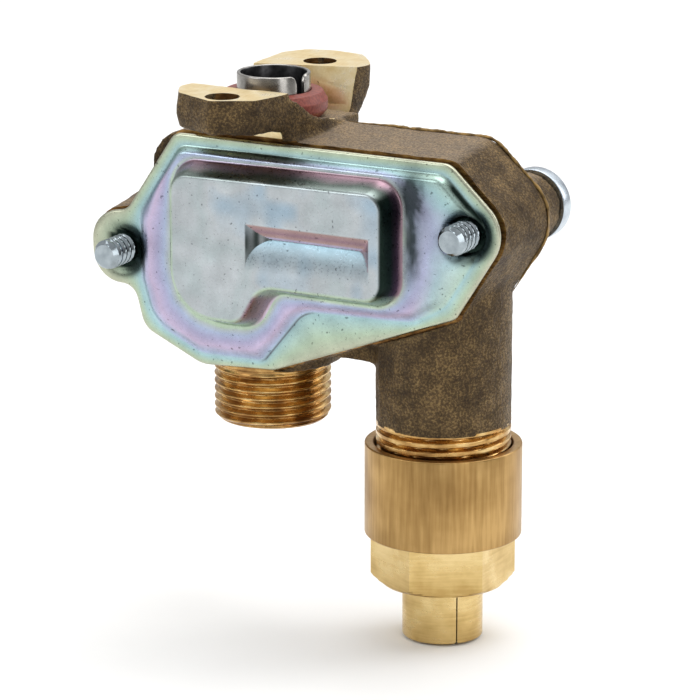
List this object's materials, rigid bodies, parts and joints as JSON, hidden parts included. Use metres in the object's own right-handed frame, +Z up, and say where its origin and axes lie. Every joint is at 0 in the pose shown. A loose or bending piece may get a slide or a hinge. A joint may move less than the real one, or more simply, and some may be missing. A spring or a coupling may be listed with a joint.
{
  "type": "pressure relief valve",
  "caption": "Cast brass relief valve manifold with bolted lugs, a split locating sleeve and seal, a pressed zinc-plated cover, a male-threaded port and a spring-loaded relief outlet with cap nut",
  "frame": {"origin": "on the vertical axis of the top port, level with the machined tops of the two mounting lugs", "axes": "+Z up along the port axes, +X along the cover from the top port to the relief stub, -Y the cover side"},
  "size_m": [0.1067, 0.0641, 0.1239],
  "materials": {
    "cast_brass": "sand-cast brass, dull brown skin with golden specks, machined faces bright",
    "turned_brass": "turned brass, fine brushed",
    "zinc_sheet": "pressed steel, iridescent passivated zinc",
    "zinc_hardware": "bright blue-white zinc plate",
    "stainless": "bright rolled stainless steel",
    "spring_steel": "drawn spring wire",
    "red_rubber": "red-brown moulded rubber, satin",
    "black_rubber": "black moulded rubber",
    "gasket_fibre": "compressed fibre sheet, matt"
  },
  "bodies": {
    "housing": {"valve_body": "cast_brass", "front_cover": "zinc_sheet", "cover_gasket": "gasket_fibre", "cover_screw_left": "zinc_hardware", "cover_screw_right": "zinc_hardware", "screw_collar_left": "zinc_hardware", "screw_collar_right": "zinc_hardware", "locating_sleeve": "stainless", "port_seal": "red_rubber", "seat_ring": "stainless", "relief_spring": "spring_steel", "spring_cap": "turned_brass", "cap_seal": "gasket_fibre"},
    "poppet": {"disc_washer": "black_rubber", "valve_disc": "turned_brass", "disc_nut": "turned_brass", "valve_stem": "stainless", "upper_spring_cup": "stainless"},
    "follower": {"spring_seat": "stainless"},
    "adjuster": {"adjusting_screw": "turned_brass"}
  },
  "joints": [
    {"name": "poppet_lift", "type": "slide", "parent": "housing", "child": "poppet", "axis": [0, 0, -1], "range_m": [0, 0.003], "stiffness_N_per_m": 2000, "deforming": ["relief_spring"]},
    {"name": "follower_travel", "type": "slide", "parent": "housing", "child": "follower", "axis": [0, 0, -1], "range_m": [0, 0.002]},
    {"name": "adjuster_turn", "type": "hinge", "parent": "follower", "child": "adjuster", "pos_m": [0.04275, 0, -0.1], "axis": [0, 0, -1], "range_deg": [0, 720]}
  ],
  "couplings": [
    {"joint": "adjuster_turn", "follows": "follower_travel", "rad_per_m": 6283.1}
  ]
}
